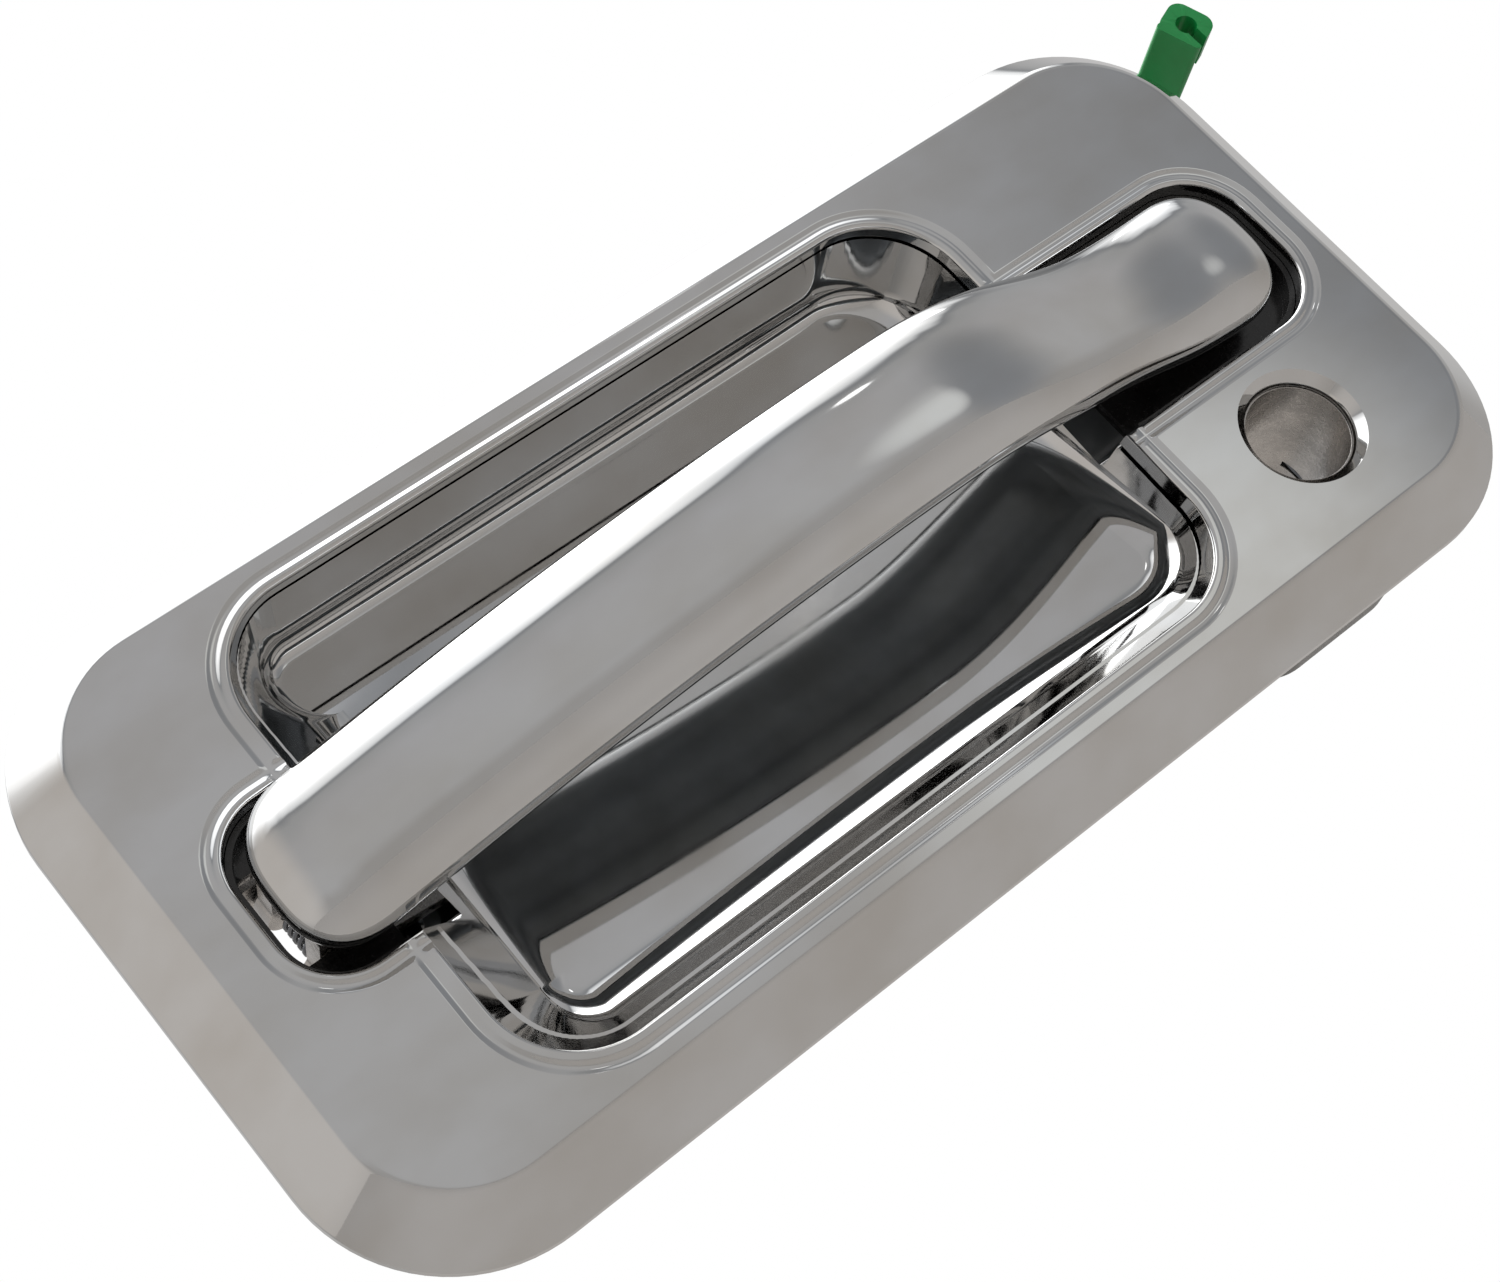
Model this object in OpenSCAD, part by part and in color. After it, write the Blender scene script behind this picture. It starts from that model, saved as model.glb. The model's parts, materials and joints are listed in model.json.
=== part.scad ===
// Exterior door handle of a large car: a bright bezel with a deep finger recess, a pull handle
// hinged at its front end, and the crank behind its rear end that works the latch rod.
// Everything is laid out on the bench: x runs to the rear of the car, y up the door and z out of
// the door, with z = 0 on the door skin. stand_up() then turns it upright, facing -Y.

/* [Bezel] */
// Length of the bezel over its base
base_l = 260; // [250:1:290]
// Height of the bezel over its base
base_w = 127.2; // [124:0.2:140]
// Corner radius of the base
corner_r = 30; // [26:1:32]
// Straight lip at the base
lip_h = 2; // [1.5:0.5:3]
// Height of the sloped flank, which is also its width
flank = 9.5; // [8:0.5:10]
// Moulded wall thickness
wall = 2.6; // [2:0.1:3]
// Radius of the edge between face and flank
edge_r = 2.4; // [1:0.2:3]
// Thickness of the foam gasket on the door skin
gasket_t = 1.2; // [1:0.1:2]

/* [Finger recess] */
// Front end of the recess
recess_x0 = -92; // [-94:1:-90]
// Rear end of the recess
recess_x1 = 61; // [58:1:62]
// Half height of the recess
recess_hw = 47.5; // [44:0.5:48]
// Corner radius of the recess
recess_r = 17; // [14:1:20]
// Depth under the upper wall
depth_top = 21.5; // [19:0.5:22]
// Depth at the foot of the lower ramp
depth_low = 9.5; // [9:0.5:12]
// Rolled edge of the recess
rim_r = 3.4; // [2:0.2:4]
// Rolled edge of the two handle pockets
pocket_rim_r = 2.2; // [1.6:0.2:2.4]

/* [Handle] */
// Height of the line that the handle and its pockets share
grip_y = 2.4; // [2:0.1:3]
// Front tip of the handle
grip_x0 = -107.5; // [-108:0.5:-106]
// Rear tip of the handle
grip_x1 = 107; // [105:0.5:108]
// Half height of the handle's section
grip_hw = 14.7; // [13.5:0.1:15]
// Half thickness towards the viewer
grip_up = 6.6; // [6:0.2:7]
// Half thickness towards the recess
grip_down = 6; // [5.4:0.2:6]
// Height of the handle's bow above the face
bow = 21; // [19:0.5:22]
// Pull of the handle, degrees
pull = 8; // [6:0.5:8]

/* [Pivot] */
// Distance of the pivot from the centre, along the car
pivot_x = -100; // [-101:0.5:-99]
// Depth of the pivot behind the skin
pivot_z = -8; // [-9:0.5:-8]
// Radius of the pivot pin
pivot_r = 2.5; // [2:0.1:2.5]

/* [Crank] */
// Height of the crank's axis
crank_y = 46; // [45.6:0.1:46.2]
// Depth of the crank's axis
crank_z = -18; // [-18.4:0.1:-18]
// Length of the input arm
crank_arm = 43.6; // [43.2:0.1:43.8]
// Rest angle of the input arm below the horizontal
crank_rest = 19.6; // [19.2:0.1:20]
// Height of the rod clip's axis
clip_y = 54; // [53:0.1:54]
// Depth of the rod clip's axis
clip_z = -33; // [-34:0.5:-32]
// Distance of the rod clip's socket along the car
clip_x = 152.2; // [152:0.1:153]

/* [Lock] */
// Distance of the lock opening along the car
lock_x = 88.2; // [88:0.1:89]
// Height of the lock opening
lock_y = -32.8; // [-33:0.1:-32]
// Inner radius of the lock sleeve
lock_r = 9.7; // [9:0.1:10]
// Outer radius of the lock sleeve
sleeve_r = 12.5; // [12:0.1:13]

/* [Mounting] */
// Distance of the studs from the centre along the car
stud_x = 118; // [117:0.5:118]
// Distance of the studs from the centre up the door
stud_y = 32; // [31:0.5:33]
// Stud radius behind the gasket
stud_r = 3; // [2.5:0.5:3]
// Stud length behind the skin
stud_out = 18; // [14:1:20]

/* [Hidden] */
$fn = 48;

face_z = gasket_t + lip_h + flank;
face_l = base_l - 2 * flank;
face_w = base_w - 2 * flank;
under_z = face_z - wall;
boss_foot_z = -2.2;
plate_t = 3;
pocket_floor_z = face_z - 8.5;
pocket_t = 2;
front_pocket = [-110.4, -84, -14.3, 18.8];
rear_pocket = [56, 113.8, -15.1, 20.3];
front_pocket_r = 11.3;
rear_pocket_r = 12.6;
front_screws = [[-103, 30], [-103, -25.5]];
rear_screws = [[73, 47], [94, 47], [75, -49.5], [104.5, -50]];
screw_r = 1.5;
front_arm_screws = [-98, -85];
hook_x = [85, 95];
hook_screws = [81.8, 98.6];
shelf_t = 3.2;
shelf_end = 102.6;
shoe_r = 3.5;
shoe_x = [98, 104.5];
peg_r = 2;
peg_y = crank_y - crank_arm * cos(crank_rest);
peg_z = crank_z - crank_arm * sin(crank_rest);
shelf_z = peg_z - shoe_r - 0.3;
arm_x = [105, 110];
bumper_x = 102.6;
hub_x = [105, 118];
hub_r = 5.5;
crank_pin_r = 2.5;
ear_t = 4;
shroud_out = 31;
shank_r = stud_r - 0.4;
bar_end = 144;
clip_pin_r = 2.5;
slip = 0.05;
chrome = "#c9ccd0";
black = "#1d1c1b";
steel = "#a9acaf";
zinc = "#8e9092";
clip_green = "#1f7a40";

// ---- outlines -------------------------------------------------------------------------------

function unit(v) = v / norm(v);

// Points of the arc that rounds corner b of the path a-b-c with radius r
function corner_arc(a, b, c, r, steps = 5) =
    let (u = unit(a - b), v = unit(c - b), half = acos(u * v) / 2)
    let (centre = b + unit(u + v) * r / sin(half), reach = r / tan(half))
    let (p = b + u * reach - centre, q = b + v * reach - centre)
    let (from = atan2(p.y, p.x), turn = (atan2(q.y, q.x) - from + 540) % 360 - 180)
    [for (i = [0:steps]) centre + r * [cos(from + turn * i / steps), sin(from + turn * i / steps)]];

// A closed outline whose points are [x, y, corner radius]
function rounded_path(pts) = [
    for (i = [0:len(pts) - 1])
        let (a = pts[(i + len(pts) - 1) % len(pts)], b = pts[i], c = pts[(i + 1) % len(pts)])
        each b.z > 0 ? corner_arc([a.x, a.y], [b.x, b.y], [c.x, c.y], b.z) : [[b.x, b.y]]
];

// A rectangle from x0 to x1 and y0 to y1 with true round corners
module round_box(x0, x1, y0, y1, r) {
    translate([x0 + r, y0]) square([x1 - x0 - 2 * r, y1 - y0]);
    translate([x0, y0 + r]) square([x1 - x0, y1 - y0 - 2 * r]);
    for (x = [x0 + r, x1 - r], y = [y0 + r, y1 - r]) translate([x, y]) circle(r);
}

module slab(z0, z1) {
    translate([0, 0, z0]) linear_extrude(z1 - z0) children();
}

// Runs a profile (x outwards from the outline, y up) round an l by w outline with corners of r
module run_round(l, w, r) {
    for (k = [0:3]) {
        half = k % 2 == 0 ? l / 2 : w / 2;
        run = k % 2 == 0 ? w - 2 * r : l - 2 * r;
        rotate(90 * k) {
            translate([half, run / 2, 0]) rotate([90, 0, 0]) linear_extrude(run) children();
            translate([half - r, run / 2, 0]) rotate_extrude(angle = 90) translate([r, 0]) children();
        }
    }
}

module along_x(x0, x1) {
    translate([x0, 0, 0]) rotate([90, 0, 90]) linear_extrude(x1 - x0) children();
}

module along_y(y0, y1) {
    translate([0, y1, 0]) rotate([90, 0, 0]) linear_extrude(y1 - y0) children();
}

module rod_x(x0, x1, y, z, r) {
    translate([x0, y, z]) rotate([0, 90, 0]) cylinder(h = x1 - x0, r = r);
}

module rod_y(y0, y1, x, z, r) {
    translate([x, y1, z]) rotate([90, 0, 0]) cylinder(h = y1 - y0, r = r);
}

module rod_z(z0, z1, x, y, r) {
    translate([x, y, z0]) cylinder(h = z1 - z0, r = r);
}

module stand_up() {
    rotate([90, 0, 0]) children();
}

// ---- bezel ----------------------------------------------------------------------------------

module flank_profile() {
    foot = gasket_t;
    inset = wall * (sqrt(2) - 1);
    polygon(rounded_path([
        [0, foot, 0],
        [0, foot + lip_h, 0],
        [-flank, face_z, edge_r],
        [-flank - 4, face_z, 0],
        [-flank - 4, under_z, 0],
        [-flank - inset, under_z, 0],
        [-wall, foot + lip_h - inset, 0],
        [-wall, foot, 0]
    ]));
}

// The recess as a solid, grown by g all round for its outer side
module recess_body(g, top) {
    low = face_z - depth_low - g;
    high = face_z - depth_top - g;
    intersection() {
        slab(high - 1, top)
            round_box(recess_x0 - g, recess_x1 + g, -recess_hw - g, recess_hw + g, recess_r + g);
        along_x(recess_x0 - 10, recess_x1 + 10) polygon(rounded_path([
            [recess_hw + g + 0.1, top + 1, 0],
            [-recess_hw - g - 1, top + 1, 0],
            [-recess_hw - g, face_z, 0],
            [-38.5 - 0.5 * g, low, 12],
            [recess_hw + g - 0.6, high, 4],
            [recess_hw + g, face_z, 0]
        ]));
        along_y(-60, 60) polygon(rounded_path([
            [recess_x0 - g - 1, top + 1, 0],
            [recess_x0 - g, face_z, 0],
            [recess_x0 - g + 13, high - 0.1, 9],
            [recess_x1 + g - 5, high - 0.1, 8],
            [recess_x1 + g, face_z, 0],
            [recess_x1 + g + 1, top + 1, 0]
        ]));
    }
}

module pocket_plan(p, r, g) {
    round_box(p[0] - g, p[1] + g, p[2] - g, p[3] + g, r + g);
}

// Rolls the edge of an opening that reaches from p[0] to p[1] and p[2] to p[3]
module rim_cutter(p, r, roll) {
    translate([(p[0] + p[1]) / 2, (p[2] + p[3]) / 2, face_z])
        run_round(p[1] - p[0], p[3] - p[2], r) difference() {
            translate([-1, -roll]) square([roll + 1, roll + 1]);
            translate([roll, -roll]) circle(roll);
        }
}

// The base's outline, moved inwards by d
module base_plan(d) {
    round_box(d - base_l / 2, base_l / 2 - d, d - base_w / 2, base_w / 2 - d, corner_r - d);
}

module bezel_solid() {
    run_round(base_l, base_w, corner_r) flank_profile();
    slab(under_z, face_z) base_plan(flank + 2);
    recess_body(wall, face_z - 0.5);
    slab(pocket_floor_z - pocket_t, face_z - 0.5) {
        pocket_plan(front_pocket, front_pocket_r, pocket_t);
        pocket_plan(rear_pocket, rear_pocket_r, pocket_t);
    }
    for (p = concat(front_screws, rear_screws)) rod_z(boss_foot_z, under_z + 0.5, p.x, p.y, 4);
    for (x = [-stud_x, stud_x], y = [-stud_y, stud_y]) rod_z(gasket_t, 9, x, y, 5);
}

module bezel() {
    color(chrome) stand_up() difference() {
        bezel_solid();
        recess_body(0, face_z + 1);
        slab(pocket_floor_z, face_z + 1) {
            pocket_plan(front_pocket, front_pocket_r, 0);
            pocket_plan(rear_pocket, rear_pocket_r, 0);
        }
        slab(pocket_floor_z - pocket_t - 1, face_z) {
            round_box(-109.5, -93, grip_y - 9.4, grip_y + 9.4, 2);
            round_box(81, 99, grip_y - 8, grip_y + 8, 2);
        }
        rim_cutter([recess_x0, recess_x1, -recess_hw, recess_hw], recess_r, rim_r);
        rim_cutter(front_pocket, front_pocket_r, pocket_rim_r);
        rim_cutter(rear_pocket, rear_pocket_r, pocket_rim_r);
        rod_z(0, face_z + 1, lock_x, lock_y, 10);
        translate([lock_x, lock_y, face_z - 1.7]) cylinder(h = 1.8, r1 = 9.9, r2 = 11.8);
        for (p = concat(front_screws, rear_screws)) rod_z(boss_foot_z - 1, 6, p.x, p.y, screw_r);
        for (x = [-stud_x, stud_x], y = [-stud_y, stud_y]) rod_z(0, 7, x, y, shank_r);
    }
}

module skin_gasket() {
    color(black) stand_up() difference() {
        slab(0, gasket_t) base_plan(0.4);
        slab(-1, gasket_t + 1) base_plan(4);
    }
}

// ---- handle ---------------------------------------------------------------------------------

bow_peak = 23;

// Height of the handle's middle line above the face
function arch(x) = x < bow_peak
    ? bow - 16 * pow((bow_peak - x) / 116, 2)
    : 2 + (bow - 2) * (1 + cos(180 * min(1, (x - bow_peak) / 69))) / 2;

// 1 along the handle, falling to 0 over the last few millimetres at each rounded tip
function tip(x, x0, x1, l) =
    let (d = max(0, l - min(x - x0, x1 - x)) / l)
    pow(max(0.0001, 1 - pow(d, 2.5)), 1 / 2.5);

// Point of a rounded section at angle a
function round_point(w, h, a, n) = [
    w * sign(cos(a)) * pow(abs(cos(a)), 2 / n),
    h * sign(sin(a)) * pow(abs(sin(a)), 2 / n)
];

// Stations that crowd towards both tips
function stations(x0, x1, count) = [
    for (i = [0:count]) let (t = i / count) x0 + (x1 - x0) * (t - 0.75 * sin(360 * t) / 6.2832)
];

// A solid lofted through rings of the same number of points
module loft(rings) {
    n = len(rings[0]);
    m = len(rings);
    pts = [for (ring = rings) each ring];
    sides = [
        for (i = [0:m - 2], j = [0:n - 1])
            let (k = (j + 1) % n)
            each [[i * n + k, i * n + j, (i + 1) * n + j], [i * n + k, (i + 1) * n + j, (i + 1) * n + k]]
    ];
    ends = [[for (j = [0:n - 1]) j], [for (j = [n - 1:-1:0]) (m - 1) * n + j]];
    polyhedron(pts, concat(sides, ends));
}

// Ring of the upper part of the section at x, down to drop below the middle line
function upper_ring(x, w, h, drop, steps) = [
    for (i = [0:steps])
        let (p = round_point(w, h, 180 * i / steps, 2.5)) [x, grip_y + p.x, face_z + arch(x) + p.y],
    [x, grip_y - 0.97 * w, face_z + arch(x) - drop],
    [x, grip_y + 0.97 * w, face_z + arch(x) - drop]
];

// Ring of the rear cover: the lower part of the section
function lower_ring(x, w, h, top, steps) = [
    [x, grip_y + w, face_z + arch(x) - top],
    [x, grip_y - w, face_z + arch(x) - top],
    for (i = [1:steps - 1])
        let (p = round_point(w, h, 180 + 180 * i / steps, 2.8))
            [x, grip_y + p.x, face_z + arch(x) + min(p.y, -top - 0.4)]
];

shell_drop = 2.4;
shell_t = 2.3;

// Top of the arm under each boss, at the four screws
boss_feet = [[-98, 16.5], [-85, 18.7], [81.8, 16], [98.6, 16]];

module handle_shell() {
    cavity = [grip_x0 + shell_t, grip_x1 - shell_t];
    color(chrome) stand_up() difference() {
        union() {
            difference() {
                loft([
                    for (x = stations(grip_x0, grip_x1, 40))
                        let (t = tip(x, grip_x0 - 0.05, grip_x1 + 0.05, 13))
                            upper_ring(x, grip_hw * t, grip_up * t, shell_drop * t, 22)
                ]);
                loft([
                    for (x = stations(cavity[0], cavity[1], 26))
                        let (t = tip(x, cavity[0] - 0.05, cavity[1] + 0.05, 11))
                        let (w = (grip_hw - shell_t) * t, h = (grip_up - shell_t) * t)
                            upper_ring(x, w, h, shell_drop + 1, 14)
                ]);
            }
            for (b = boss_feet) rod_z(b[1] + 0.1, face_z + arch(b[0]) + grip_up - 2.6, b[0], grip_y, 3);
        }
        for (b = boss_feet) rod_z(b[1], b[1] + 4.6, b[0], grip_y, screw_r);
    }
}

module handle_liner() {
    color(black) stand_up() loft([
        for (x = stations(-76, 77, 30)) lower_ring(x, 0.95 * grip_hw, grip_down, shell_drop + 0.05, 14)
    ]);
}

// Die-cast arm that carries the pivot, inside the front end of the handle
module pivot_arm() {
    half = 8.6;
    color(zinc) stand_up() difference() {
        union() {
            along_y(grip_y - half, grip_y + half) polygon(rounded_path([
                [-105, pivot_z, 0],
                [-105, 9.5, 2],
                [-102, 12.4, 0],
                [-102, 15.2, 0],
                [-80, 19, 0],
                [-80, 16, 0],
                [-94, 12.2, 3],
                [-95, pivot_z, 0]
            ]));
            rod_y(grip_y - half, grip_y + half, pivot_x, pivot_z, 6);
        }
        rod_y(grip_y - 15, grip_y + 15, pivot_x, pivot_z, 3.6);
        translate([-108, grip_y - 4.6, pivot_z - 7]) cube([16, 9.2, 27.6]);
        rod_z(5, 14.6, front_arm_screws[1], grip_y, 3.2);
        for (x = front_arm_screws) rod_z(5, 30, x, grip_y, screw_r + 0.2);
    }
}

// Die-cast pull arm with the shelf that lifts the crank
module hook_arm() {
    color(zinc) stand_up() difference() {
        union() {
            along_y(grip_y - 5, grip_y + 5) polygon(rounded_path([
                [hook_x[0], shelf_z - shelf_t, 3],
                [hook_x[0], 10, 0],
                [78.6, 10, 0],
                [78.6, 15.9, 0],
                [103.4, 15.9, 0],
                [103.4, 10, 0],
                [hook_x[1], 10, 0],
                [hook_x[1], shelf_z - shelf_t, 0]
            ]));
            along_y(-6, 12) polygon([
                [hook_x[0] + 4, shelf_z - shelf_t],
                [hook_x[0] + 4, shelf_z],
                [shelf_end, shelf_z],
                [shelf_end, shelf_z - shelf_t]
            ]);
        }
        for (x = hook_screws) rod_z(5, 30, x, grip_y, screw_r + 0.2);
    }
}

// Screw driven from below: its shank ends at z1 and its head, h high, hangs under head_z
module pan_screw(x, y, z1, head_z, h) {
    rod_z(head_z, z1, x, y, screw_r);
    difference() {
        rod_z(head_z - h, head_z, x, y, 2.9);
        rod_z(head_z - 1.1 * h, head_z - h / 2, x, y, 1.3);
    }
}

module arm_screws() {
    color(steel) stand_up() {
        pan_screw(front_arm_screws[0], grip_y, 20, 12.6, 1.9);
        pan_screw(front_arm_screws[1], grip_y, 22, 14.6, 1.9);
        for (x = hook_screws) pan_screw(x, grip_y, 18.4, 10, 1.3);
    }
}

// ---- front pivot ----------------------------------------------------------------------------

module pivot_bracket() {
    inner = 9.7;
    outer = 13.2;
    color(zinc) stand_up() difference() {
        union() {
            slab(boss_foot_z - plate_t, boss_foot_z) {
                round_box(-113, -91.5, -19, 24, 3);
                round_box(-108.5, -97.5, -31, 35.5, 4);
            }
            for (side = [-1, 1])
                translate([0, grip_y + side * (inner + outer) / 2, 0])
                    along_y((inner - outer) / 2, (outer - inner) / 2) {
                        translate([pivot_x, pivot_z]) circle(7);
                        translate([pivot_x - 7, pivot_z]) square([14, boss_foot_z - pivot_z]);
                    }
        }
        slab(boss_foot_z - plate_t - 1, boss_foot_z + 1) {
            round_box(-109, -93.5, grip_y - inner, grip_y + inner, 2);
            round_box(pivot_x - 5.4, pivot_x + 5.4, grip_y + outer, grip_y + 17.4, 1);
            round_box(pivot_x - 5.4, pivot_x + 5.4, grip_y - 15.6, grip_y - outer, 1);
        }
        rod_y(grip_y - 20, grip_y + 20, pivot_x, pivot_z, pivot_r);
        for (p = front_screws) rod_z(-10, 0, p.x, p.y, 1.8);
    }
}

module pivot_pin() {
    color(steel) stand_up() difference() {
        union() {
            rod_y(grip_y - 13.2, grip_y + 16.4, pivot_x, pivot_z, pivot_r);
            rod_y(grip_y - 14.9, grip_y - 13.2, pivot_x, pivot_z, 4.2);
        }
        difference() {
            rod_y(grip_y + 13.9, grip_y + 14.7, pivot_x, pivot_z, 4);
            rod_y(grip_y + 13.8, grip_y + 14.8, pivot_x, pivot_z, 1.9);
        }
    }
}

// Ring on the pivot's line, from a to b on one side of the handle's middle
module bush_ring(side, a, b, r) {
    rod_y(grip_y + min(side * a, side * b), grip_y + max(side * a, side * b), pivot_x, pivot_z, r);
}

module pivot_bushes() {
    color(black) stand_up() for (side = [-1, 1]) difference() {
        union() {
            bush_ring(side, 4.8, 8.6, 3.6);
            bush_ring(side, 8.6, 9.4, 5.4);
        }
        rod_y(grip_y - 20, grip_y + 20, pivot_x, pivot_z, pivot_r + slip);
    }
}

// Spring-steel ring with a mouth, in the groove of a pin that runs along z
module e_clip(groove_r, outer_r, t) {
    linear_extrude(t) difference() {
        circle(outer_r);
        circle(groove_r);
        translate([0, -groove_r * 0.8]) square([outer_r + 1, groove_r * 1.6]);
        for (a = [120, 240]) rotate(a) translate([groove_r + 0.3, 0]) circle(0.9);
    }
}

module pivot_clips() {
    color(steel) stand_up() translate([pivot_x, grip_y + 14.6, pivot_z])
        rotate([90, 30, 0]) e_clip(1.9, 4.6, 0.6);
}

// Ring of wire at angle a of a coil round the z axis
function wire_ring(mean_r, wire_r, a, z) = [
    for (j = [0:7])
        let (r = mean_r + wire_r * cos(-45 * j)) [r * cos(a), r * sin(a), z + wire_r * sin(-45 * j)]
];

// Torsion spring: round wire wound into a coil round the z axis
module coil(mean_r, wire_r, turns, height) {
    steps = 18;
    count = round(turns * steps);
    loft([for (i = [0:count]) wire_ring(mean_r, wire_r, 360 * i / steps, height * i / count)]);
}

module pivot_spring() {
    color(steel) stand_up() translate([pivot_x, grip_y + 3.6, pivot_z])
        rotate([90, 0, 0]) coil(3.9, 0.5, 5.25, 7);
}

module pocket_tray(p, r, hole) {
    top = face_z - 3.6;
    gap = 0.1;
    t = 1.1;
    difference() {
        slab(pocket_floor_z, top) pocket_plan(p, r, -gap);
        slab(pocket_floor_z + t, top + 1) pocket_plan(p, r, -gap - t);
        slab(pocket_floor_z - 1, top + 2) round_box(hole[0], hole[1], hole[2], hole[3], 2);
    }
}

// Rubber tray in the front pocket, cut off where the pocket opens into the recess
module pivot_seal() {
    color(black) stand_up() difference() {
        pocket_tray(front_pocket, front_pocket_r, [-109, -93.4, grip_y - 9, grip_y + 9]);
        translate([-93, -40, 0]) cube([40, 80, 30]);
    }
}

module hook_seal() {
    color(black) stand_up() difference() {
        pocket_tray(rear_pocket, rear_pocket_r, [81.6, 98.4, grip_y - 7.4, grip_y + 7.4]);
        translate([30, -40, 0]) cube([36, 80, 30]);
    }
}

// Rubber stops that the rear end of the handle closes on
module end_bumpers() {
    foot = pocket_floor_z + 1.1;
    color(black) stand_up() for (side = [-1, 1]) {
        rod_z(foot, 8.8, bumper_x, grip_y + side * 3.8, 2);
        translate([bumper_x, grip_y + side * 3.8, 8.8]) cylinder(h = 0.8, r1 = 2, r2 = 1.4);
    }
}

// ---- rear bracket ---------------------------------------------------------------------------

module rear_bracket() {
    low = boss_foot_z - plate_t;
    ears = [hub_x[0] - 0.4 - ear_t, hub_x[1] + 0.4];
    color(black) stand_up() difference() {
        union() {
            slab(low, boss_foot_z) {
                round_box(66.8, 109.5, -45, 56, 4);
                round_box(96, 123, 39.5, 56, 3);
            }
            for (x = ears)
                along_x(x, x + ear_t) {
                    translate([crank_y, crank_z]) circle(6.5);
                    translate([crank_y - 6.5, crank_z]) square([13, boss_foot_z - crank_z]);
                }
            slab(-shroud_out, boss_foot_z) round_box(66.8, 113, -59.2, -13.6, 13);
        }
        slab(-shroud_out - 1, low) round_box(69.4, 110.4, -56.6, -16.2, 10.4);
        slab(low - 1, boss_foot_z + 1) round_box(81, 111.2, -9.5, 36, 3);
        rod_z(-30, 5, lock_x, lock_y, sleeve_r + 0.1);
        rod_x(90, 130, crank_y, crank_z, crank_pin_r);
        for (p = rear_screws) rod_z(-12, 0, p.x, p.y, 1.8);
    }
}

module bracket_screws() {
    low = boss_foot_z - plate_t;
    color(steel) stand_up()
        for (p = concat(front_screws, rear_screws)) pan_screw(p.x, p.y, 5.5, low, 2.2);
}

// ---- crank ----------------------------------------------------------------------------------

module crank() {
    color(zinc) stand_up() difference() {
        union() {
            rod_x(hub_x[0], hub_x[1], crank_y, crank_z, hub_r);
            translate([0, crank_y, crank_z]) rotate([180 + crank_rest, 0, 0])
                along_x(arm_x[0], arm_x[1])
                    polygon([[0, -5.2], [crank_arm, -3.4], [crank_arm, 3.4], [0, 5.2]]);
            rod_x(arm_x[0], arm_x[1], peg_y, peg_z, 3.4);
            rod_x(shoe_x[0] - 0.6, arm_x[1], peg_y, peg_z, peg_r);
            along_x(hub_x[1] - 3.6, hub_x[1]) polygon([
                [crank_y - 4.2, crank_z - 2],
                [crank_y + 5, crank_z + 1],
                [clip_y + 3.6, clip_z + 1],
                [clip_y - 3.4, clip_z - 2]
            ]);
            rod_x(hub_x[1] - 3.6, bar_end, clip_y, clip_z, 4);
        }
        rod_x(90, 130, crank_y, crank_z, crank_pin_r + slip);
        rod_x(bar_end - 9, bar_end + 1, clip_y, clip_z, clip_pin_r + slip);
    }
}

module crank_shoe() {
    color("#d8d4c8") stand_up() difference() {
        rod_x(shoe_x[0], shoe_x[1], peg_y, peg_z, shoe_r);
        rod_x(shoe_x[0] - 1, shoe_x[1] + 1, peg_y, peg_z, peg_r);
    }
}

module crank_pin() {
    left = hub_x[0] - ear_t - 0.4;
    right = hub_x[1] + ear_t + 0.4;
    color(steel) stand_up() difference() {
        union() {
            rod_x(left, right + 2.4, crank_y, crank_z, crank_pin_r);
            rod_x(left - 1.6, left, crank_y, crank_z, 4.2);
        }
        difference() {
            rod_x(right + 0.4, right + 1.2, crank_y, crank_z, 4);
            rod_x(right + 0.3, right + 1.3, crank_y, crank_z, 1.9);
        }
    }
}

module crank_clip() {
    right = hub_x[1] + ear_t + 0.4;
    color(steel) stand_up() translate([right + 0.5, crank_y, crank_z])
        rotate([0, 90, 0]) rotate(-60) e_clip(1.9, 4.6, 0.6);
}

module crank_spring() {
    color(steel) stand_up() translate([111, crank_y, crank_z]) rotate([0, 90, 0]) coil(6.7, 0.5, 2.25, 2.8);
}

// Swinging clip for the latch rod: a pin in the crank, a stem and an open C at its end
module rod_clip() {
    top = 6.2;
    c_low = 14.4;
    color(clip_green) stand_up() difference() {
        union() {
            rod_x(bar_end - 8.4, bar_end + 0.6, clip_y, clip_z, clip_pin_r);
            rod_x(bar_end + 0.4, clip_x - 2.4, clip_y, clip_z, 4.8);
            translate([clip_x, clip_y, 0]) rotate(21) {
                slab(clip_z, -top) round_box(-4.4, -2.5, -5, 5, 0.9);
                slab(-c_low, -top) round_box(-4.4, 4.6, -5, 5, 2.8);
            }
        }
        rod_z(-c_low - 1, 0, clip_x, clip_y, 2.3);
        slab(-c_low - 1, 0) translate([clip_x - 1.3, clip_y - 8]) square([2.5, 8]);
    }
}

// ---- lock opening ---------------------------------------------------------------------------

module lock_sleeve() {
    color(zinc) stand_up() difference() {
        union() {
            rod_z(-19, under_z - 0.2, lock_x, lock_y, 11.2);
            rod_z(-19, boss_foot_z + 1.5, lock_x, lock_y, sleeve_r);
        }
        rod_z(-20, face_z, lock_x, lock_y, lock_r);
        for (side = [-1, 1]) translate([lock_x + side * 11.2 - 2, lock_y - 5.5, -14]) cube([4, 13.8, 1.4]);
        translate([lock_x - 1.6, lock_y - 14, -20]) cube([3.2, 10, 22]);
    }
}

module lock_seal() {
    color(black) stand_up() difference() {
        rod_z(boss_foot_z + 1.5, under_z, lock_x, lock_y, 13.2);
        rod_z(boss_foot_z, under_z + 1, lock_x, lock_y, 11.2);
    }
}

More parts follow.
